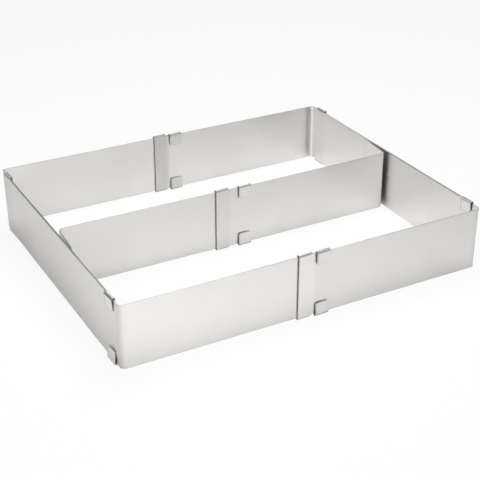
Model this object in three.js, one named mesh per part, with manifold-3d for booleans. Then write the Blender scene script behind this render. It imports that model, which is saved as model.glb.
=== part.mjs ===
// An adjustable baking frame: four L-shaped strips of sheet steel whose ends hook round each other, so
// that every wall telescopes, and a divider of two strips that telescopes in the same way.
// Millimetres, +Z up, +X along the front wall and +Y to the rear, with the origin at the middle of the
// frame's underside.

import * as THREE from 'three';
import { mergeVertices } from 'three/addons/utils/BufferGeometryUtils.js';
import Module from 'manifold-3d';

const wasm = await Module();
wasm.setup();

// Strips
const sheet = 0.6; // thickness of the sheet
const runningGap = 0.5; // between two strips that slide on each other
const stripHeight = 57.6;
const bendRadius = 3.4; // inside a corner bend

// Walls, measured along their inside faces
const longWallReach = 184.5; // from the inside corner to the tip of a front or rear leg
const sideWallReach = 266; // from the inside corner to the tip of a side leg
const longWallHookGap = 3.8; // between the two hooked ends of a front or rear wall
const sideWallTipGap = 6; // from a side leg's tip to the other corner's bend, with the side walls closed

// Hooked ends
const hookWidth = 12; // along the strip
const hookFlap = 10.8; // from the strip's edge to the free edge of the flap
const hookPlay = 1.6; // between a flap and the strip that it goes round, at the fold
const flapPlay = 0.9; // the same at the free edge, to which the flap leans in
const foldRadius = 1.1; // inside a fold
const flapCorner = 2; // radius of a flap's free corners
const flareOffset = 0.55; // how far a hooked end stands off at its tip
const flareLap = 0.6; // how far a hooked end starts before its kink

// Divider
const dividerHookGap = 10; // between the two hooked ends
const dividerStandoff = 2.8; // from a wall to the bend
const flangeLength = 33; // straight part beyond the bend
const flangeClearance = 0.35; // between the flange's tip and a flared end that slides past it

// Facets of a quarter circle
const bendSteps = 8;
const foldSteps = 5;

const steelColour = 0xcbcac6;
const steelRoughness = 0.32;
const weldTolerance = 1e-4;

// Sizes that follow
const hookLength = hookWidth + flareLap;
const stripEnd = flareLap / 2; // a strip ends this far before its kink, inside its hooked end
const insideWidth = 2 * longWallReach - 2 * hookLength - longWallHookGap;
const insideDepth = sideWallReach + sheet + bendRadius + sideWallTipGap;
const strips = 2 * sheet + runningGap; // a double wall's thickness
const foldRise = foldRadius + sheet; // a fold stands this far past the strip's edge
const bottomEdge = foldRise;
const topEdge = bottomEdge + stripHeight;
const hookSpan = runningGap + sheet + hookPlay; // inside a hook
const flapLean = Math.asin((hookPlay - flapPlay) / hookFlap);
const flareAngle = Math.asin(flareOffset / hookWidth);

const quarter = Math.PI / 2;
const up = new THREE.Vector3(0, 0, 1);
const point = (x, y) => new THREE.Vector2(x, y);

function arc(x, y, radius, from, to, steps) {
  return new THREE.EllipseCurve(x, y, radius, radius, from, to, to < from).getPoints(steps);
}

function extrude(outline, depth) {
  return new THREE.ExtrudeGeometry(new THREE.Shape(outline), { depth, bevelEnabled: false });
}

function solidOf(geometry) {
  const bare = geometry.clone();
  bare.deleteAttribute('normal');
  bare.deleteAttribute('uv');
  const welded = mergeVertices(bare, weldTolerance);
  const vertProperties = Float32Array.from(welded.attributes.position.array);
  const triVerts = Uint32Array.from(welded.index.array);
  return new wasm.Manifold(new wasm.Mesh({ numProp: 3, vertProperties, triVerts }));
}

function geometryOf(solid) {
  const mesh = solid.getMesh();
  const geometry = new THREE.BufferGeometry();
  geometry.setAttribute('position', new THREE.BufferAttribute(mesh.vertProperties, 3));
  geometry.setIndex(new THREE.BufferAttribute(mesh.triVerts, 1));
  geometry.computeVertexNormals();
  return geometry;
}

function join(geometries) {
  return geometryOf(geometries.map(solidOf).reduce((whole, next) => whole.add(next)));
}

// One face of a lower fold, from the flap's free edge round to the strip: x leads from the strip's face to
// its partner, y is up.
function foldLine(radius) {
  const fold = [
    ...arc(hookSpan - foldRadius, bottomEdge, radius, flapLean, -quarter, foldSteps),
    ...arc(foldRadius, bottomEdge, radius, -quarter, -2 * quarter, foldSteps),
  ];
  const freeEdge = bottomEdge + hookFlap;
  const lean = Math.tan(flapLean) * (freeEdge - fold[0].y);
  return [point(fold[0].x - lean, freeEdge), ...fold];
}

// The cross-section of a hooked end. The strip is folded over its partner's top and bottom edges into a
// flap on the far side.
function hookProfile() {
  const upper = (line) => line.map((place) => point(place.x, bottomEdge + topEdge - place.y));
  const outside = foldLine(foldRise);
  const inside = foldLine(foldRadius);
  return [...outside, ...upper(outside).reverse(), ...upper(inside), ...inside.reverse()];
}

// What is cut from a flap to round one free corner. The corner is at (back, level), with the flap's
// material lying on the side that backSign and levelSign point to.
function cornerCutter(back, level, backSign, levelSign) {
  const margin = sheet;
  const place = (x, y) => point(back + backSign * x, level + levelSign * y);
  const round = arc(flapCorner, flapCorner, flapCorner, -quarter, -2 * quarter, foldSteps);
  const outline = [
    place(-margin, -margin),
    place(flapCorner, -margin),
    ...round.map((corner) => place(corner.x, corner.y)),
    place(-margin, flapCorner),
  ];
  const away = new THREE.Vector3(-1, 0, 0);
  const across = new THREE.Matrix4().makeBasis(up, new THREE.Vector3(0, 1, 0), away);
  across.setPosition(hookSpan + 2 * sheet, 0, 0);
  return extrude(outline, 2 * sheet + hookPlay).applyMatrix4(across);
}

// A hooked end in its own axes: x to the partner, y up and z back from the tip.
function hookedEnd() {
  let solid = solidOf(extrude(hookProfile(), hookLength));
  const freeEdges = [[bottomEdge + hookFlap, -1], [topEdge - hookFlap, 1]];
  for (const [level, levelSign] of freeEdges) {
    for (const [back, backSign] of [[0, 1], [hookLength, -1]]) {
      solid = solid.subtract(solidOf(cornerCutter(back, level, backSign, levelSign)));
    }
  }
  return geometryOf(solid);
}

const hook = hookedEnd();

// A hooked end at a strip's kink, a point on the face that the partner slides on. The end leans away from
// the partner, which lies on the side that toward points to.
function hookAt(x, y, toward) {
  const along = up.clone().cross(toward);
  const out = along.clone().applyAxisAngle(up, flareAngle);
  const side = toward.clone().applyAxisAngle(up, flareAngle);
  const tip = new THREE.Vector3(x, y, 0).addScaledVector(out, hookWidth);
  const place = new THREE.Matrix4().makeBasis(side, up, out.clone().negate()).setPosition(tip);
  return hook.clone().applyMatrix4(place);
}

function strip(plan) {
  return extrude(plan, stripHeight).translate(0, 0, bottomEdge);
}

// An L-shaped corner with its legs along +X and +Y from the outside of its bend. The first leg is the
// inner strip of its wall and hooks outwards, and the second is the outer strip of its wall and hooks
// inwards.
function cornerPiece(firstReach, secondReach) {
  const outside = bendRadius + sheet;
  const firstKink = firstReach + strips - hookWidth;
  const secondKink = secondReach + sheet - hookWidth;
  const plan = [
    point(firstKink - stripEnd, 0),
    ...arc(outside, outside, outside, -quarter, -2 * quarter, bendSteps),
    point(0, secondKink - stripEnd),
    point(sheet, secondKink - stripEnd),
    ...arc(outside, outside, bendRadius, 2 * quarter, 3 * quarter, bendSteps),
    point(firstKink - stripEnd, sheet),
  ];
  const outward = hookAt(firstKink, 0, new THREE.Vector3(0, -1, 0));
  const inward = hookAt(sheet, secondKink, new THREE.Vector3(1, 0, 0));
  return join([strip(plan), outward, inward]);
}

// The divider's right strip: it runs from its hooked end near the middle to the right wall, and turns
// there into a flange that leans on the wall with its tip.
function dividerStrip() {
  const tipGap = flareOffset + flangeClearance;
  const turn = Math.acos((dividerStandoff - tipGap) / flangeLength);
  const outside = bendRadius + sheet;
  const face = -runningGap / 2; // the partner slides on this face
  const kink = hookWidth - hookLength - dividerHookGap / 2;
  const bendX = insideWidth / 2 - dividerStandoff - outside * Math.sin(turn);
  const bendY = face + bendRadius;
  const run = point(Math.cos(turn), Math.sin(turn)).multiplyScalar(flangeLength);
  const outsideBend = arc(bendX, bendY, outside, -quarter, turn - quarter, bendSteps);
  const insideBend = arc(bendX, bendY, bendRadius, turn - quarter, -quarter, bendSteps);
  const plan = [
    point(kink + stripEnd, face - sheet),
    ...outsideBend,
    outsideBend.at(-1).clone().add(run),
    insideBend[0].clone().add(run),
    ...insideBend,
    point(kink + stripEnd, face),
  ];
  return join([strip(plan), hookAt(kink, face, new THREE.Vector3(0, 1, 0))]);
}

function piece(name, geometry) {
  const material = new THREE.MeshStandardMaterial({
    color: steelColour,
    roughness: steelRoughness,
    metalness: 1,
  });
  const mesh = new THREE.Mesh(geometry, material);
  mesh.name = name;
  return mesh;
}

const leftCorner = cornerPiece(longWallReach, sideWallReach);
const rightCorner = cornerPiece(sideWallReach, longWallReach);
const divider = dividerStrip();

// Half of the frame: its front corners and the front strip of the divider. The other half is the same
// after half a turn.
function half(leftName, rightName, dividerName) {
  const left = piece(leftName, leftCorner);
  left.position.set(-insideWidth / 2 - strips, -insideDepth / 2 - sheet, 0);
  const right = piece(rightName, rightCorner);
  right.rotation.z = quarter;
  right.position.set(insideWidth / 2 + sheet, -insideDepth / 2 - strips, 0);
  return new THREE.Group().add(left, right, piece(dividerName, divider));
}

const front = half('front_left_corner', 'front_right_corner', 'divider_right_strip');
const rear = half('rear_right_corner', 'rear_left_corner', 'divider_left_strip');
rear.rotation.z = 2 * quarter;

const bakingFrame = new THREE.Group().add(front, rear);

export default bakingFrame;
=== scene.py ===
"""The looks of an adjustable baking frame: six strips of brushed stainless sheet hooked round each other.

Each strip is one flat blank. Its plan is a path, its ends are folded into hooks, and it gets the sheet's
thickness last. Metres, +Z up, +X along the front wall and +Y to the rear, as in the CAD frame.
"""

import math
from typing import NamedTuple

import bpy
import numpy as np
from mathutils import Matrix, Vector


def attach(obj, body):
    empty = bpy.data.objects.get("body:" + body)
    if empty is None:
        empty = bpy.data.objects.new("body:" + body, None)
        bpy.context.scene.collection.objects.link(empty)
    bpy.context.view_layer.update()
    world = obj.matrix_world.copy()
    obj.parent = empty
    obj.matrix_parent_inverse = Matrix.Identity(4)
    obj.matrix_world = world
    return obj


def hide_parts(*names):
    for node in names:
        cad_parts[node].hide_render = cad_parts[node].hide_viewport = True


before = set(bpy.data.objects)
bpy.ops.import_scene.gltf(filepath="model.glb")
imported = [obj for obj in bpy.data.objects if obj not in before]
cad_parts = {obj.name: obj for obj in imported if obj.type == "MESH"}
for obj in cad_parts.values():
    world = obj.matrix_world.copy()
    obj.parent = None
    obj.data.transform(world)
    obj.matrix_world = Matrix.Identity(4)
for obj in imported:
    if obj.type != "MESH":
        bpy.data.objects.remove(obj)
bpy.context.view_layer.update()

# Strips
SHEET = 0.0006  # thickness of the sheet
RUNNING_GAP = 0.0005  # between two strips that slide on each other
STRIP_HEIGHT = 0.0576
BEND_RADIUS = 0.0034  # inside a corner bend

# Walls, measured along their inside faces
LONG_WALL_REACH = 0.1845  # from the inside corner to the tip of a front or rear leg
SIDE_WALL_REACH = 0.266  # from the inside corner to the tip of a side leg
LONG_WALL_HOOK_GAP = 0.0038  # between the two hooked ends of a front or rear wall
SIDE_WALL_TIP_GAP = 0.006  # from a side leg's tip to the other corner's bend

# Hooked ends
HOOK_WIDTH = 0.012  # along the strip
HOOK_FLAP = 0.0108  # from the strip's edge to the flap's free edge
HOOK_PLAY = 0.0016  # between a flap and the strip that it goes round, at the fold
FLAP_PLAY = 0.0009  # the same at the free edge, to which the flap leans in
FOLD_RADIUS = 0.0011  # inside a fold
FLAP_CORNER = 0.002  # radius of a flap's free corners
FLARE_OFFSET = 0.00055  # how far a hooked end stands off at its tip
FLARE_LAP = 0.0006  # how far a hook reaches back past the kink
KINK_LENGTH = 0.0012  # the stretch over which a strip turns into its flare

# Divider
DIVIDER_HOOK_GAP = 0.01  # between the two hooked ends
DIVIDER_STANDOFF = 0.0028  # from a wall to the bend
FLANGE_LENGTH = 0.033  # straight part beyond the bend
FLANGE_CLEARANCE = 0.00035  # between the flange's tip and a flared end that slides past it

# Sizes that follow
HOOK_LENGTH = HOOK_WIDTH + FLARE_LAP
INSIDE_WIDTH = 2 * LONG_WALL_REACH - 2 * HOOK_LENGTH - LONG_WALL_HOOK_GAP
INSIDE_DEPTH = SIDE_WALL_REACH + SHEET + BEND_RADIUS + SIDE_WALL_TIP_GAP
STRIPS = 2 * SHEET + RUNNING_GAP  # a double wall's thickness
BOTTOM_EDGE = FOLD_RADIUS + SHEET
TOP_EDGE = BOTTOM_EDGE + STRIP_HEIGHT
HOOK_SPAN = RUNNING_GAP + SHEET + HOOK_PLAY  # inside a hook
FLAP_LEAN = math.asin((HOOK_PLAY - FLAP_PLAY) / HOOK_FLAP)
FLARE_ANGLE = math.asin(FLARE_OFFSET / HOOK_WIDTH)
MID_BEND = BEND_RADIUS + SHEET / 2
MID_FOLD = FOLD_RADIUS + SHEET / 2
OUTSIDE_BEND = BEND_RADIUS + SHEET
QUARTER = math.pi / 2

# Longest steps of the mesh
LEG_STEP = 0.004
BEND_STEP = 0.0003
HOOK_STEP = 0.0006
KINK_STEP = KINK_LENGTH / 4
CORNER_STEP = FLAP_CORNER / 8
FOLD_STEP = 0.00022
FLAP_STEP = 0.001

# Rows of the mesh
CORNER_ROWS = 9  # over a flap's rounded corners
EDGE_ROWS = (0, 0.0004, 0.0012, 0.0024)  # beside a strip's long edge, by the distance from it
MIDDLE_ROWS = 13  # evenly over the rest of the strip
MIDDLE_MARGIN = 0.005  # from a long edge to the first of the middle rows
COLUMN_TOLERANCE = HOOK_STEP / 100  # keeps rounding from losing a hook's last column

# The burr-free edge of a cut sheet
EDGE_RADIUS = 0.00011
EDGE_SEGMENTS = 2
EDGE_ANGLE = math.radians(50)

# Waviness of a rolled strip: a slow wave and a shorter one
WAVE_HEIGHTS = (0.00006, 0.00004)
WAVE_LENGTHS = (0.118, 0.067)

# What a blank's vertices carry for the material
BLANK_MAP = "blank"  # distance along and across the flat blank, in metres
RIM = "rim"  # distance to the blank's nearest cut edge, in metres
FOLD_WORK_AND_SHADE = "fold_work_and_shade"  # 1 where the sheet was folded, less where it was only bent; it roughens the sheet and greys its colour as painted shade
PAINTED_REFLECTION = "tone"  # painted reflection on a hooked end: how much lighter (to 1, a painted highlight) or greyer (to -1, painted shade) it is than its strip

BEND_SHARE = 0.11  # how much a quarter bend is roughened and greyed by painted shade, beside a fold
CREST_PAINTED_HIGHLIGHT = 0.6  # how much less the crest of a fold is greyed and roughened: a painted highlight
CREST_WIDTH = 0.0005  # from the crest's middle to where its bell curve has dropped to 1/e


class Hook(NamedTuple):
    """A strip's hooked end."""

    columns: np.ndarray  # of the strip's grid
    toward: int  # 1 if the partner lies on the left of the strip's walk, -1 if it lies on the right
    # painted reflections of the band and of the tabs, lighter or greyer than the strip
    band_painted_reflection: float
    tab_painted_reflection: float


class Blank(NamedTuple):
    """A strip's mid-surface: its faces and, for every vertex, its place and what it carries."""

    faces: np.ndarray
    places: np.ndarray  # in plan, on the complex plane
    heights: np.ndarray
    along: np.ndarray
    across: np.ndarray
    rim: np.ndarray
    fold_work_and_shade: np.ndarray
    # painted reflection of the hooked ends
    tone: np.ndarray


def stations(stretches):
    """Places along a path: each stretch is a length and a longest step, divided evenly. Returns them and
    the stretches' ends."""
    ends = np.cumsum([0.0] + [length for length, step in stretches])
    counts = [max(1, math.ceil(length / step)) for length, step in stretches]
    parts = [np.linspace(a, b, n, endpoint=False) for a, b, n in zip(ends[:-1], ends[1:], counts)]
    return np.append(np.concatenate(parts), ends[-1]), ends


def walk(along, heading, turns):
    """A path on the complex plane from its bends.

    The heading is the first heading plus, for every turn, its angle in proportion to how far its stretch
    has been passed. The place is the running sum of the steps, each along the mean of the headings at
    its two ends and shortened to the chord of its arc. Returns the places and the headings.
    """
    angle = np.full(along.shape, heading)
    for start, length, turn in turns:
        angle = angle + turn * np.clip((along - start) / length, 0, 1)
    bend = np.diff(angle)
    chord = np.diff(along) * np.sinc(bend / math.tau)
    steps = chord * np.exp(1j * (angle[:-1] + bend / 2))
    return np.append(0, np.cumsum(steps)), angle


def waviness(along, across, phase):
    """How far a rolled strip strays from flat: a slow wave along it plus a shorter one that turns over
    between its two edges, both of them sines."""
    slow = WAVE_HEIGHTS[0] * np.sin(math.tau * along / WAVE_LENGTHS[0] + phase)
    turned = WAVE_HEIGHTS[1] * np.sin(math.tau * along / WAVE_LENGTHS[1] + 2 * phase)
    return slow + turned * np.sin(QUARTER * across / (STRIP_HEIGHT / 2))


def fold_profile():
    """The cross-section of a fold from the strip's edge to the flap's free edge, as a walk: a quarter
    turn, a short flat, a quarter turn and the flap's lean, then the flap.

    Returns the distances along it, the places and how much the sheet is roughened and greyed there as
    painted shade: 1 on the fold, less by a bell curve round the fold's middle, which leaves a painted
    highlight on the crest, and 0 on the flap. A place's real part leads to the partner and its imaginary
    part away from the strip.
    """
    quarter_arc = MID_FOLD * QUARTER
    lean_arc = MID_FOLD * (QUARTER + FLAP_LEAN)
    flat = HOOK_SPAN - 2 * FOLD_RADIUS
    flap = (HOOK_FLAP - MID_FOLD * math.sin(FLAP_LEAN)) / math.cos(FLAP_LEAN)
    stretches = [
        (quarter_arc, FOLD_STEP),
        (flat, FOLD_STEP),
        (lean_arc, FOLD_STEP),
        (flap - FLAP_CORNER, FLAP_STEP),
    ]
    along, ends = stations(stretches)
    corner = FLAP_CORNER * np.sin(np.linspace(0, QUARTER, CORNER_ROWS + 1)[1:])
    along = np.append(along, ends[-1] + corner)
    turns = [(ends[0], quarter_arc, -QUARTER), (ends[2], lean_arc, -QUARTER - FLAP_LEAN)]
    place = walk(along, QUARTER, turns)[0]
    fold_end = ends[3]
    # painted highlight: the crest is greyed less than the fold's flanks
    crest = np.exp(-(((along - fold_end / 2) / CREST_WIDTH) ** 2))
    fold_work_and_shade = (along < fold_end) * (1 - CREST_PAINTED_HIGHLIGHT * crest)
    return along, place, fold_work_and_shade


def quads(grid):
    """The four-sided faces between neighbouring rows and columns of a grid of vertex numbers."""
    corners = (grid[:-1, :-1], grid[1:, :-1], grid[1:, 1:], grid[:-1, 1:])
    return np.stack(corners, -1).reshape(-1, 4)


def ear(along, plan, left, hook):
    """A hook's fold and flap as a grid, without the row that is the strip's own edge: the fold's profile
    carried along the strip's end.

    A column keeps its place along the strip until the free corners, where its distance from the hook's
    middle shrinks so that the outline is a quarter circle: inset = r - sqrt(r^2 - (r - d)^2), d being
    the distance to the free edge. Returns places in plan, how far they lie past the strip's edge, blank
    coordinates, rim distances and how much the sheet is roughened and greyed as painted shade.
    """
    run, place, fold_work_and_shade = [values[1:] for values in fold_profile()]
    middle = along[hook.columns].mean()
    half = np.ptp(along[hook.columns]) / 2
    to_free_edge = run[-1] - run
    corner = FLAP_CORNER - np.clip(to_free_edge, 0, FLAP_CORNER)
    half_width = half - FLAP_CORNER + np.sqrt(FLAP_CORNER**2 - corner**2)
    share = (along[hook.columns] - middle) / half
    ear_along = middle + share[:, None] * half_width
    ground = np.interp(ear_along, along, plan)
    ground = ground + np.interp(ear_along, along, left) * hook.toward * place.real
    rim = np.minimum(half_width - np.abs(ear_along - middle), to_free_edge)
    across = STRIP_HEIGHT / 2 + run
    lift, across, fold_work_and_shade = [np.broadcast_to(row, rim.shape) for row in (place.imag, across, fold_work_and_shade)]
    return ground, lift, ear_along, across, rim, fold_work_and_shade


def strip_blank(stretches, turns, heading, hooks, anchor, phase):
    """A strip's mid-surface as one welded grid with hooks.

    The plan is a walk, set so that the place at the anchor's distance is the anchor's point. The wall is
    the plan raised from the bottom edge to the top edge and moved sideways by the waviness. The first row
    of a hook's two ears is the wall's own edge, which is no cut edge there.
    """
    along = stations(stretches)[0]
    plan, angle = walk(along, heading, turns)
    anchor_at, anchor_point = anchor
    plan = plan + anchor_point - np.interp(anchor_at, along, plan)
    left = 1j * np.exp(1j * angle)

    near_edge = np.array(EDGE_ROWS)
    middle = np.linspace(MIDDLE_MARGIN, STRIP_HEIGHT - MIDDLE_MARGIN, MIDDLE_ROWS)
    rise = np.concatenate([near_edge, middle, STRIP_HEIGHT - near_edge[::-1]])
    run, up = np.meshgrid(along, rise, indexing="ij")
    across = up - STRIP_HEIGHT / 2
    ground = plan[:, None] + left[:, None] * waviness(run, across, phase)

    hooked = np.zeros(along.shape, bool)
    # painted reflection on each hooked band: lighter or greyer than the strip
    tone = np.zeros(along.shape)
    for hook in hooks:
        hooked[hook.columns] = True
        tone[hook.columns] = hook.band_painted_reflection
    long_rim = np.where(hooked[:, None], STRIP_HEIGHT, STRIP_HEIGHT / 2 - np.abs(across))
    rim = np.minimum(np.minimum(run, along[-1] - run), long_rim)
    # bends are roughened and a little greyed as painted shade
    fold_work_and_shade = np.zeros(along.shape)
    for start, length, turn in turns:
        bent = (along >= start) & (along <= start + length)
        fold_work_and_shade = np.maximum(fold_work_and_shade, bent * BEND_SHARE * min(1, abs(turn)))
    tone, fold_work_and_shade = [np.broadcast_to(column[:, None], run.shape) for column in (tone, fold_work_and_shade)]

    wall = np.arange(run.size).reshape(run.shape)
    faces = [quads(wall)]
    grids = [(ground, BOTTOM_EDGE + up, run, across, rim, fold_work_and_shade, tone)]
    count = run.size
    for hook in hooks:
        ground, lift, run, across, rim, fold_work_and_shade = ear(along, plan, left, hook)
        # painted reflection on the tabs
        tone = np.full(ground.shape, hook.tab_painted_reflection)
        grown = np.arange(ground.size).reshape(ground.shape)
        for edge, edge_height, upward in ((0, BOTTOM_EDGE, -1), (-1, TOP_EDGE, 1)):
            root = wall[hook.columns, edge]
            grid = np.concatenate([root[:, None], count + grown], 1)
            faces.append(quads(grid[:, ::upward]))
            height = edge_height + upward * lift
            grids.append((ground, height, run, upward * across, rim, fold_work_and_shade, tone))
            count += ground.size
    values = [np.concatenate([part.ravel() for part in parts]) for parts in zip(*grids)]
    return Blank(np.concatenate(faces), *values)


def hooked_end():
    """The stretches of a hooked end from its tip to where its strip runs straight, and the kink's place."""
    kink_at = HOOK_WIDTH - KINK_LENGTH / 2
    half_kink = (KINK_LENGTH / 2, KINK_STEP)
    stretches = [(FLAP_CORNER, CORNER_STEP), (kink_at - FLAP_CORNER, HOOK_STEP), half_kink, half_kink]
    return stretches, kink_at


def corner_blank(reaches, painted_reflections, phase):
    """An L-shaped corner: a walk from the first leg's tip through its kink, the corner's quarter turn and
    the second leg's kink to the second tip. Legs lie along +X and +Y from the outside of the bend. The
    first leg is the inner strip of its wall and hooks outwards, the second the outer strip of its wall
    and hooks inwards."""
    first_reach, second_reach = reaches
    # painted reflections of the two hooked ends
    first_painted_reflections, second_painted_reflections = painted_reflections
    first_run = first_reach + STRIPS - HOOK_WIDTH - KINK_LENGTH / 2 - OUTSIDE_BEND
    second_run = second_reach + SHEET - HOOK_WIDTH - KINK_LENGTH / 2 - OUTSIDE_BEND
    bend = MID_BEND * QUARTER
    end, kink_at = hooked_end()
    legs = [(first_run, LEG_STEP), (bend, BEND_STEP), (second_run, LEG_STEP)]
    stretches = end + legs + end[::-1]
    along, ends = stations(stretches)
    bend_at = ends[len(end) + 1]
    turns = [
        (kink_at, KINK_LENGTH, -FLARE_ANGLE),
        (bend_at, bend, -QUARTER),
        (ends[-1] - kink_at - KINK_LENGTH, KINK_LENGTH, FLARE_ANGLE),
    ]
    hook_length = HOOK_LENGTH + COLUMN_TOLERANCE
    first_columns = np.flatnonzero(along <= hook_length)
    second_columns = np.flatnonzero(along >= ends[-1] - hook_length)
    hooks = [Hook(first_columns, 1, *first_painted_reflections), Hook(second_columns, -1, *second_painted_reflections)]
    anchor = (bend_at, OUTSIDE_BEND + 1j * SHEET / 2)
    return strip_blank(stretches, turns, math.pi + FLARE_ANGLE, hooks, anchor, phase)


def divider_blank(painted_reflections, phase):
    """The divider's right strip: a walk from its hooked tip near the middle along +X, then round the bend
    into the flange that leans on the right wall."""
    face = -RUNNING_GAP / 2
    tip_gap = FLARE_OFFSET + FLANGE_CLEARANCE
    turn = math.acos((DIVIDER_STANDOFF - tip_gap) / FLANGE_LENGTH)
    kink_x = HOOK_WIDTH - HOOK_LENGTH - DIVIDER_HOOK_GAP / 2
    bend_x = INSIDE_WIDTH / 2 - DIVIDER_STANDOFF - OUTSIDE_BEND * math.sin(turn)
    run = bend_x - kink_x - KINK_LENGTH / 2
    bend = MID_BEND * turn
    end, kink_at = hooked_end()
    stretches = end + [(run, LEG_STEP), (bend, BEND_STEP), (FLANGE_LENGTH, LEG_STEP)]
    along, ends = stations(stretches)
    bend_at = ends[len(end) + 1]
    turns = [(kink_at, KINK_LENGTH, -FLARE_ANGLE), (bend_at, bend, turn)]
    columns = np.flatnonzero(along <= HOOK_LENGTH + COLUMN_TOLERANCE)
    anchor = (bend_at, bend_x + 1j * (face - SHEET / 2))
    # the hook carries the painted reflection of its band and tabs
    return strip_blank(stretches, turns, FLARE_ANGLE, [Hook(columns, 1, *painted_reflections)], anchor, phase)


def sheet_piece(name, blank, turn, shift, material):
    """A mesh from a blank's grid, turned and shifted in plan, with the sheet's thickness and rounded cut
    edges from modifiers."""
    placed = blank.places * np.exp(1j * turn) + shift
    mesh = bpy.data.meshes.new(name)
    mesh.from_pydata(np.stack([placed.real, placed.imag, blank.heights], -1), [], blank.faces)
    mesh.polygons.foreach_set("use_smooth", np.ones(len(blank.faces), bool))
    layer = mesh.uv_layers.new(name=BLANK_MAP)
    flat = np.stack([blank.along, blank.across], -1)
    layer.uv.foreach_set("vector", flat[blank.faces.ravel()].ravel())
    for attribute_name, values in ((RIM, blank.rim), (FOLD_WORK_AND_SHADE, blank.fold_work_and_shade), (PAINTED_REFLECTION, blank.tone)):
        attribute = mesh.attributes.new(attribute_name, "FLOAT", "POINT")
        attribute.data.foreach_set("value", values.astype(np.float32))
    mesh.materials.append(material)
    piece = bpy.data.objects.new(name, mesh)
    bpy.context.scene.collection.objects.link(piece)
    wall = piece.modifiers.new("sheet thickness", "SOLIDIFY")
    wall.thickness = SHEET
    wall.offset = 0
    wall.use_even_offset = True
    edge = piece.modifiers.new("rounded cut edges", "BEVEL")
    edge.width = EDGE_RADIUS
    edge.segments = EDGE_SEGMENTS
    edge.limit_method = "ANGLE"
    edge.angle_limit = EDGE_ANGLE
    edge.harden_normals = True
    return piece


# A Mix node's sockets for colours, by number because others of the node share their names
MIX_FACTOR = 0
MIX_FIRST = 6
MIX_SECOND = 7
MIX_RESULT = 2


class Shade:
    """A socket of a node tree that takes part in Python sums: every operator adds a Math node."""

    def __init__(self, tree, socket=None):
        self.tree = tree
        self.socket = socket

    def node(self, kind, settings, inputs, output=0):
        """Adds a node of a kind, sets its settings first, then gives its sockets values or links."""
        made = self.tree.nodes.new(kind)
        for name, value in settings.items():
            setattr(made, name, value)
        for name, value in inputs.items():
            if isinstance(value, Shade):
                self.tree.links.new(value.socket, made.inputs[name])
            else:
                made.inputs[name].default_value = value
        return Shade(self.tree, made.outputs[output])

    def math(self, operation, *values):
        return self.node("ShaderNodeMath", {"operation": operation}, dict(enumerate(values)))

    def __add__(self, other):
        return self.math("ADD", self, other)

    def __radd__(self, other):
        return self.math("ADD", other, self)

    def __sub__(self, other):
        return self.math("SUBTRACT", self, other)

    def __rsub__(self, other):
        return self.math("SUBTRACT", other, self)

    def __mul__(self, other):
        return self.math("MULTIPLY", self, other)

    def __rmul__(self, other):
        return self.math("MULTIPLY", other, self)

    def __abs__(self):
        return self.math("ABSOLUTE", self)

    def step(self, low, high):
        """0 below the low value, 1 above the high one, and a smooth step between them."""
        limits = {"Value": self, "From Min": low, "From Max": high}
        return self.node("ShaderNodeMapRange", {"interpolation_type": "SMOOTHSTEP"}, limits)

    def stretched(self, stretch):
        """These coordinates with each axis multiplied by its own number."""
        return self.node("ShaderNodeVectorMath", {"operation": "MULTIPLY"}, {0: self, 1: stretch})

    def noise(self, detail, roughness):
        """A cloudy value from about 0 to 1 on these coordinates, with features one unit across."""
        inputs = {"Vector": self, "Scale": 1.0, "Detail": detail, "Roughness": roughness}
        return self.node("ShaderNodeTexNoise", {}, inputs)

    def blend(self, first, second):
        """The first colour where this value is 0 or less and the second where it is 1 or more."""
        mix = {"data_type": "RGBA", "clamp_factor": True}
        inputs = {MIX_FACTOR: self, MIX_FIRST: first, MIX_SECOND: second}
        return self.node("ShaderNodeMix", mix, inputs, MIX_RESULT)


def empty_material(name):
    """A material with only an output node. Returns it, its tree as a shade and the output."""
    material = bpy.data.materials.new(name)
    material.use_nodes = True
    material.node_tree.nodes.clear()
    output = material.node_tree.nodes.new("ShaderNodeOutputMaterial")
    return material, Shade(material.node_tree), output


# Steel's colours
STEEL = (0.86, 0.85, 0.831, 1)
STEEL_DULL = (0.81, 0.8, 0.782, 1)
STEEL_EDGE_PAINTED_SHADE = (0.66, 0.65, 0.635, 1)  # painted shade beside a cut edge, standing for the shaded gaps at the strips' ends
STEEL_FOLD_PAINTED_SHADE = (0.54, 0.533, 0.52, 1)  # painted shade where it was folded
STEEL_PAINTED_HIGHLIGHT = (0.92, 0.903, 0.87, 1)  # painted highlight of the lightest hooked ends
STEEL_PAINTED_SHADE = (0.56, 0.547, 0.525, 1)  # painted shade of the greyest hooked ends

# Patterns, in features per metre: the grain along and across the blank, the others by the frame's axes
FINE_GRAIN = (22, 3100, 1)
BROAD_GRAIN = (7, 520, 1)
CLOUDS = (17, 17, 17)
SMEARS = (46, 46, 30)

# The values of a pattern between which its effect grows from none to all
CLOUD_STEP = (0.3, 0.75)
SMEAR_STEP = (0.52, 0.75)
RUB_PATCH_STEP = (0.42, 0.7)

# The distances in metres between which an effect fades from all to none
CUT_STEP = (0.0002, 0.0011)  # from a cut edge
SHEARED_STEP = (0.00005, 0.0003)  # from a cut edge, on the sheared face and its rounding
RUB_STEP = (0.0002, 0.0012)  # from the line on which a flap's free edge rubs

# Shares of the duller colours and of the painted shade
CLOUD_DULLS = 0.55
GRAIN_DULLS = 0.35
FOLD_PAINTED_SHADE = 0.9
EDGE_PAINTED_SHADE = 0.6

# Roughness of the plain sheet, and what each effect adds to it at most
PLAIN_ROUGHNESS = 0.31
FINE_ROUGHENS = 0.07
BROAD_ROUGHENS = 0.04
SMEAR_ROUGHENS = 0.03
CUT_ROUGHENS = 0.05
FOLD_ROUGHENS = 0.42
SHEARED_ROUGHENS = 0.3
RUB_POLISHES = 0.04

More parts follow.
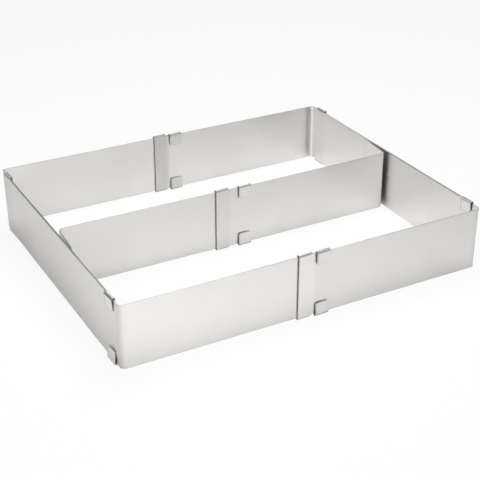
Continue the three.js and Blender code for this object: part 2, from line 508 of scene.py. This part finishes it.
# Relief of the grain
GRAIN_DEPTH = 0.000004
FINE_RELIEF = 0.7
BROAD_RELIEF = 0.5
GRAIN_STRENGTH = 0.55  # how much more the grain blurs upright than along the strips
GRAIN_TURN = 0.25  # a quarter of a turn: the wide blur is across the grain


def brushed_stainless():
    """Bright sheet with a fine grain along the strip and slow cloudy changes of gloss. Beside cut edges the
    sheet is darker, painted shade that stands for the shaded gaps at the strips' ends, and matt where it
    was sheared; folds are matt and greyed by painted shade with a painted highlight on their crest, bends a
    little so, and hooked ends carry painted reflections, lighter or greyer than their strip. Faint rub
    lines lie at the height of the flaps' free edges."""
    material, tree, output = empty_material("brushed_stainless_sheet")
    blank = tree.node("ShaderNodeUVMap", {"uv_map": BLANK_MAP}, {})
    place = tree.node("ShaderNodeTexCoord", {}, {}, "Object")
    rim = tree.node("ShaderNodeAttribute", {"attribute_name": RIM}, {}, "Fac")
    fold_work_and_shade = tree.node("ShaderNodeAttribute", {"attribute_name": FOLD_WORK_AND_SHADE}, {}, "Fac")
    tone = tree.node("ShaderNodeAttribute", {"attribute_name": PAINTED_REFLECTION}, {}, "Fac")
    across = tree.node("ShaderNodeSeparateXYZ", {}, {0: blank}, "Y")

    fine = blank.stretched(FINE_GRAIN).noise(detail=3, roughness=0.6)
    broad = blank.stretched(BROAD_GRAIN).noise(detail=2, roughness=0.5)
    clouds = place.stretched(CLOUDS).noise(detail=2, roughness=0.5).step(*CLOUD_STEP)
    smears = place.stretched(SMEARS).noise(detail=3, roughness=0.55).step(*SMEAR_STEP)
    cut = 1 - rim.step(*CUT_STEP)
    sheared = 1 - rim.step(*SHEARED_STEP)
    rub_line = STRIP_HEIGHT / 2 - HOOK_FLAP
    from_line = abs(abs(across) - rub_line)
    rubbed = (1 - from_line.step(*RUB_STEP)) * broad.step(*RUB_PATCH_STEP)

    dull = clouds * CLOUD_DULLS + broad * GRAIN_DULLS
    colour = dull.blend(STEEL, STEEL_DULL)
    # painted reflections on the hooked ends: painted highlight where lighter, painted shade where greyer
    colour = tone.blend(colour, STEEL_PAINTED_HIGHLIGHT)
    colour = (0 - tone).blend(colour, STEEL_PAINTED_SHADE)
    # painted shade on folds and bends, lighter on the folds' crests as a painted highlight
    colour = (fold_work_and_shade * FOLD_PAINTED_SHADE).blend(colour, STEEL_FOLD_PAINTED_SHADE)
    # painted shade beside the cut edges, standing in for the shadow in the gaps at the strips' ends
    colour = (cut * EDGE_PAINTED_SHADE).blend(colour, STEEL_EDGE_PAINTED_SHADE)

    roughness = PLAIN_ROUGHNESS + fine * FINE_ROUGHENS + broad * BROAD_ROUGHENS + smears * SMEAR_ROUGHENS
    roughness = roughness + cut * CUT_ROUGHENS + fold_work_and_shade * FOLD_ROUGHENS + sheared * SHEARED_ROUGHENS
    roughness = roughness - rubbed * RUB_POLISHES
    relief = fine * FINE_RELIEF + broad * BROAD_RELIEF
    bump = tree.node("ShaderNodeBump", {}, {"Strength": 1.0, "Distance": GRAIN_DEPTH, "Height": relief})
    steel = tree.node(
        "ShaderNodeBsdfPrincipled",
        {},
        {
            "Base Color": colour,
            "Metallic": 1.0,
            "Roughness": roughness,
            "Normal": bump,
            "Anisotropic": GRAIN_STRENGTH,
            "Anisotropic Rotation": GRAIN_TURN,
        },
    )
    material.node_tree.links.new(steel.socket, output.inputs["Surface"])
    return material


FLOOR_COLOUR = (0.86, 0.86, 0.86, 1)
FLOOR_SIZE = 24.0
FLOOR_SEEN_WHITE = 0.9  # share of plain white that the camera sees in the floor
FLOOR_MIRRORED_WHITE = 0.15  # share of plain white that the steel shows of the floor


def studio_floor():
    """A pale matt floor. What the camera and the steel see of it is lifted towards plain white, and it
    keeps a part of the object's shadow."""
    material, tree, output = empty_material("pale_floor")
    matt = tree.node("ShaderNodeBsdfDiffuse", {}, {"Color": FLOOR_COLOUR})
    white = tree.node("ShaderNodeEmission", {}, {"Strength": 1.0})
    camera_ray = tree.node("ShaderNodeLightPath", {}, {}, "Is Camera Ray")
    glossy_ray = tree.node("ShaderNodeLightPath", {}, {}, "Is Glossy Ray")
    through_ray = tree.node("ShaderNodeLightPath", {}, {}, "Is Transmission Ray")
    mirrored = (glossy_ray + through_ray) * FLOOR_MIRRORED_WHITE
    lifted = camera_ray * FLOOR_SEEN_WHITE + mirrored
    surface = tree.node("ShaderNodeMixShader", {}, {0: lifted, 1: matt, 2: white})
    material.node_tree.links.new(surface.socket, output.inputs["Surface"])

    half = FLOOR_SIZE / 2
    corners = [(-half, -half, 0), (half, -half, 0), (half, half, 0), (-half, half, 0)]
    mesh = bpy.data.meshes.new("floor")
    mesh.from_pydata(corners, [], [(0, 1, 2, 3)])
    mesh.materials.append(material)
    floor = bpy.data.objects.new("floor", mesh)
    bpy.context.scene.collection.objects.link(floor)


ROOM_WHITE = (1, 1, 1, 1)
ROOM_SIDES = 0.03  # light from the room's grey sides
ROOM_TOP = 0.1  # light from its white ceiling
SIDES_END = 0.45  # sine of the elevation at which the sides begin to pale
CEILING_STARTS = 0.75  # the same, where the ceiling's full light begins


def studio_room():
    """A room with grey sides and a white ceiling, by the sine of the elevation. The camera sees white."""
    world = bpy.data.worlds.new("studio_room")
    world.use_nodes = True
    world.node_tree.nodes.clear()
    tree = Shade(world.node_tree)
    output = world.node_tree.nodes.new("ShaderNodeOutputWorld")
    direction = tree.node("ShaderNodeTexCoord", {}, {}, "Generated")
    height = tree.node("ShaderNodeSeparateXYZ", {}, {0: direction}, "Z")
    camera_ray = tree.node("ShaderNodeLightPath", {}, {}, "Is Camera Ray")
    level = ROOM_SIDES + height.step(SIDES_END, CEILING_STARTS) * (ROOM_TOP - ROOM_SIDES)
    seen = level + camera_ray * (1 - level)
    room = tree.node("ShaderNodeBackground", {}, {"Color": ROOM_WHITE, "Strength": seen})
    world.node_tree.links.new(room.socket, output.inputs["Surface"])
    bpy.context.scene.world = world


def facing(place, aim):
    """A placement at one point that looks at another."""
    turn = (Vector(aim) - Vector(place)).to_track_quat("-Z", "Y")
    return Matrix.Translation(place) @ turn.to_matrix().to_4x4()


FLOOR_MIDDLE = (0, 0, 0)
FRAME_MIDDLE = (0, 0, 0.02)
CEILING_LAMP = (0, 0, 0.6)
FRONT_LAMP = (0, -1.256, 0.336)
REAR_LAMP = (0.42, 0.42, 1.16)
FRONT_LEFT_LAMP = (-0.812, -0.812, 0.61)
CEILING_LAMP_SIZE = 0.36
LAMP_SIZE = 0.7


def soft_lamp(name, place, aim, size, power):
    """A square soft light that faces the aim and that no camera sees directly."""
    light = bpy.data.lights.new(name, "AREA")
    light.shape = "SQUARE"
    light.size = size
    light.energy = power
    lamp = bpy.data.objects.new(name, light)
    lamp.visible_camera = False
    lamp.matrix_world = facing(place, aim)
    bpy.context.scene.collection.objects.link(lamp)


CAMERA_AZIMUTH = math.radians(-28.58)
CAMERA_ELEVATION = math.radians(28.18)
CAMERA_DISTANCE = 1.0545
CAMERA_TARGET = (0.0074, 0, 0.0044)
CAMERA_LENS = 85.0
CAMERA_SENSOR = 36.0
CAMERA_NEAREST = 0.01
CAMERA_FARTHEST = 50


def photo_camera():
    """A camera at the photo's viewing angle: it stands back from its target along the azimuth and
    elevation, and looks at the target."""
    flat = math.cos(CAMERA_ELEVATION)
    sideways = math.sin(CAMERA_AZIMUTH) * flat
    forwards = -math.cos(CAMERA_AZIMUTH) * flat
    back = Vector((sideways, forwards, math.sin(CAMERA_ELEVATION)))
    data = bpy.data.cameras.new("photo_camera")
    data.lens = CAMERA_LENS
    data.sensor_width = CAMERA_SENSOR
    data.clip_start = CAMERA_NEAREST
    data.clip_end = CAMERA_FARTHEST
    camera = bpy.data.objects.new("photo_camera", data)
    camera.matrix_world = facing(Vector(CAMERA_TARGET) + back * CAMERA_DISTANCE, CAMERA_TARGET)
    bpy.context.scene.collection.objects.link(camera)
    bpy.context.scene.camera = camera


# Painted reflections of a hooked end, lighter (painted highlight) or greyer (painted shade) than its strip:
# of its band along the strip, and of its folded tabs
PAINTED_HIGHLIGHT_ON_BAND = (0.7, 0)
PAINTED_HIGHLIGHT_ON_TABS = (0, 0.9)
PAINTED_SHADE_ON_END = (-0.6, -0.4)
FAINT_PAINTED_SHADE = (-0.12, 0)

# A corner's legs, and the painted reflections of its hooked ends, are given in the order of its walk. The
# phases only make one strip's waves differ from another's.
long_wall_first = (LONG_WALL_REACH, SIDE_WALL_REACH)
side_wall_first = (SIDE_WALL_REACH, LONG_WALL_REACH)
front_left = corner_blank(long_wall_first, (FAINT_PAINTED_SHADE, FAINT_PAINTED_SHADE), phase=0.4)
front_right = corner_blank(side_wall_first, (FAINT_PAINTED_SHADE, PAINTED_HIGHLIGHT_ON_BAND), phase=1.7)
rear_right = corner_blank(long_wall_first, (PAINTED_SHADE_ON_END, FAINT_PAINTED_SHADE), phase=2.9)
rear_left = corner_blank(side_wall_first, (PAINTED_HIGHLIGHT_ON_TABS, PAINTED_SHADE_ON_END), phase=4.1)
divider_right = divider_blank(FAINT_PAINTED_SHADE, phase=5.0)
divider_left = divider_blank(FAINT_PAINTED_SHADE, phase=0.9)

# The rear half of the frame is the front half after half a turn
left_place = -INSIDE_WIDTH / 2 - STRIPS - 1j * (INSIDE_DEPTH / 2 + SHEET)
right_place = INSIDE_WIDTH / 2 + SHEET - 1j * (INSIDE_DEPTH / 2 + STRIPS)
pieces = [
    ("front_left", "corner", front_left, 0, left_place),
    ("front_right", "corner", front_right, QUARTER, right_place),
    ("rear_right", "corner", rear_right, math.pi, -left_place),
    ("rear_left", "corner", rear_left, 3 * QUARTER, -right_place),
    ("divider_right", "strip", divider_right, 0, 0),
    ("divider_left", "strip", divider_left, math.pi, 0),
]
steel = brushed_stainless()
for body, form, blank, turn, shift in pieces:
    piece = sheet_piece(f"{body}_sheet", blank, turn, shift, steel)
    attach(piece, body)
    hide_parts(f"{body}_{form}")

studio_floor()
studio_room()
soft_lamp("ceiling_softbox", place=CEILING_LAMP, aim=FLOOR_MIDDLE, size=CEILING_LAMP_SIZE, power=2.3)
soft_lamp("front_softbox", place=FRONT_LAMP, aim=FRAME_MIDDLE, size=LAMP_SIZE, power=5.2)
soft_lamp("rear_softbox", place=REAR_LAMP, aim=FRAME_MIDDLE, size=LAMP_SIZE, power=4.4)
soft_lamp("front_left_softbox", place=FRONT_LEFT_LAMP, aim=FRAME_MIDDLE, size=LAMP_SIZE, power=7.0)
photo_camera()

bpy.context.scene.view_settings.view_transform = "Standard"
